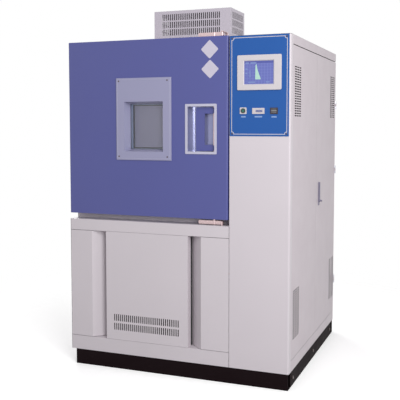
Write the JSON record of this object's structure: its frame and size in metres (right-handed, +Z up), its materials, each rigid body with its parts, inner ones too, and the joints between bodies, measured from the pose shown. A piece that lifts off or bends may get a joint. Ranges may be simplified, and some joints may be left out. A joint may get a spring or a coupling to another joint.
{
  "type": "environmental test chamber",
  "caption": "Floor-standing temperature and humidity test chamber with a windowed hinged door, a control column, a lower machine bay and a roof fan cover.",
  "frame": {"origin": "on the floor under the middle of the whole object's box", "axes": "+X from the hinge side to the control column, +Y from the door to the back, +Z up"},
  "size_m": [1.27, 1.132, 1.957],
  "materials": {
    "base_plinth": "satin black paint",
    "plinth_bolts": "zinc plated steel",
    "base_pan": "galvanised steel",
    "left_side_panel": "warm light gray powder coat",
    "rear_panel": "warm light gray powder coat",
    "roof_panel": "warm light gray powder coat",
    "column_shell": "warm light gray powder coat",
    "chamber_case": "gray powder coat",
    "side_frame": "warm light gray powder coat",
    "side_panel": "warm light gray powder coat",
    "front_top_rail": "warm light gray powder coat",
    "front_bottom_rail": "warm light gray powder coat",
    "bay_surround": "warm light gray powder coat",
    "body_front_frame": "gray powder coat",
    "chamber_liner": "brushed stainless steel",
    "chamber_insulation": "rigid polyurethane foam",
    "air_baffle": "stainless sheet",
    "shelves": "stainless wire",
    "evaporator_coil": "aluminium fins on copper tube",
    "heater_element": "annealed stainless sheath",
    "shaft_sleeve": "moulded nylon",
    "fan_motor": "enamelled cast motor body",
    "motor_cover": "warm light gray powder coat",
    "latch_keepers": "plated steel",
    "door_hinge_body": "plated steel",
    "side_hinge_body": "plated steel",
    "control_panel": "blue coated panel",
    "panel_screws": "plated screws",
    "screen_bezel": "light gray moulded plastic",
    "lcd_screen": "dark blue display",
    "power_switch_body": "lilac gray plastic",
    "hour_meter": "light gray plastic",
    "limit_unit": "black plastic",
    "switchgear": "gray plastic devices on a steel plate",
    "compressor": "black enamel",
    "condenser_coil": "aluminium fins",
    "condenser_fan_frame": "black paint",
    "refrigerant_pipes": "copper tube",
    "power_gland": "black nylon",
    "door_shell": "blue powder coat",
    "door_insulation": "rigid polyurethane foam",
    "door_inner_panel": "brushed stainless steel",
    "door_gasket": "silicone rubber",
    "window_frame": "lilac gray coated plate",
    "window_glass": "clear coated glass",
    "window_spacer": "mill aluminium",
    "window_screws": "plated screws",
    "handle_cup": "satin lilac gray casting",
    "latch_bushings": "nylon",
    "door_hinge_leaves": "plated steel",
    "handle_lever": "satin gray casting",
    "latch_shaft": "plated steel",
    "side_door": "warm light gray powder coat",
    "side_handle_plate": "plated steel",
    "side_handle_lever": "plated steel",
    "access_panel": "warm light gray powder coat",
    "circulation_fan": "stainless fan wheel",
    "condenser_rotor": "pressed aluminium",
    "power_button": "green plastic",
    "cable_port_plug": "silicone rubber"
  },
  "bodies": {
    "cabinet": {"base_plinth": "base_plinth", "plinth_bolts": "plinth_bolts", "base_pan": "base_pan", "left_side_panel": "left_side_panel", "rear_panel": "rear_panel", "roof_panel": "roof_panel", "column_shell": "column_shell", "chamber_case": "chamber_case", "side_frame": "side_frame", "side_panel": "side_panel", "front_top_rail": "front_top_rail", "front_bottom_rail": "front_bottom_rail", "bay_surround": "bay_surround", "body_front_frame": "body_front_frame", "chamber_liner": "chamber_liner", "chamber_insulation": "chamber_insulation", "air_baffle": "air_baffle", "shelves": "shelves", "evaporator_coil": "evaporator_coil", "heater_element": "heater_element", "shaft_sleeve": "shaft_sleeve", "fan_motor": "fan_motor", "motor_cover": "motor_cover", "latch_keepers": "latch_keepers", "door_hinge_body": "door_hinge_body", "side_hinge_body": "side_hinge_body", "control_panel": "control_panel", "panel_screws": "panel_screws", "screen_bezel": "screen_bezel", "lcd_screen": "lcd_screen", "power_switch_body": "power_switch_body", "hour_meter": "hour_meter", "limit_unit": "limit_unit", "switchgear": "switchgear", "compressor": "compressor", "condenser_coil": "condenser_coil", "condenser_fan_frame": "condenser_fan_frame", "refrigerant_pipes": "refrigerant_pipes", "power_gland": "power_gland"},
    "door": {"door_shell": "door_shell", "door_insulation": "door_insulation", "door_inner_panel": "door_inner_panel", "door_gasket": "door_gasket", "window_frame": "window_frame", "window_glass": "window_glass", "window_spacer": "window_spacer", "window_screws": "window_screws", "handle_cup": "handle_cup", "latch_bushings": "latch_bushings", "door_hinge_leaves": "door_hinge_leaves"},
    "latch": {"handle_lever": "handle_lever", "latch_shaft": "latch_shaft"},
    "side_door": {"side_door": "side_door", "side_handle_plate": "side_handle_plate"},
    "side_handle": {"side_handle_lever": "side_handle_lever"},
    "access_door": {"access_panel": "access_panel"},
    "fan": {"circulation_fan": "circulation_fan"},
    "condenser_fan": {"condenser_rotor": "condenser_rotor"},
    "power_key": {"power_button": "power_button"},
    "port_plug": {"cable_port_plug": "cable_port_plug"}
  },
  "joints": [
    {"name": "door_swing", "type": "hinge", "parent": "cabinet", "child": "door", "pos_m": [-0.626, -0.485, 1.295], "axis": [0, 0, -1], "range_deg": [0, 110]},
    {"name": "latch_turn", "type": "hinge", "parent": "door", "child": "latch", "pos_m": [0.214, -0.531, 1.291], "axis": [0, 0, 1], "range_deg": [0, 40]},
    {"name": "side_door_swing", "type": "hinge", "parent": "cabinet", "child": "side_door", "pos_m": [0.615, 0.561, 1.035], "axis": [0, 0, 1], "range_deg": [0, 100]},
    {"name": "side_handle_turn", "type": "hinge", "parent": "side_door", "child": "side_handle", "pos_m": [0.62, 0.093, 0.884], "axis": [-1, 0, 0], "range_deg": [0, 90]},
    {"name": "access_swing", "type": "hinge", "parent": "cabinet", "child": "access_door", "pos_m": [-0.384, -0.542, 0.45], "axis": [0, 0, -1], "range_deg": [0, 95]},
    {"name": "fan_spin", "type": "hinge", "parent": "cabinet", "child": "fan", "pos_m": [-0.06, -0.038, 1.565], "axis": [0, 0, 1], "continuous": true},
    {"name": "condenser_fan_spin", "type": "hinge", "parent": "cabinet", "child": "condenser_fan", "pos_m": [-0.09, 0.42, 0.325], "axis": [0, 1, 0], "continuous": true},
    {"name": "power_press", "type": "slide", "parent": "cabinet", "child": "power_key", "axis": [0, 1, 0], "range_m": [0, 0.003], "stiffness_N_per_m": 400},
    {"name": "plug_pull", "type": "slide", "parent": "cabinet", "child": "port_plug", "axis": [-1, 0, 0], "range_m": [0, 0.1]}
  ]
}
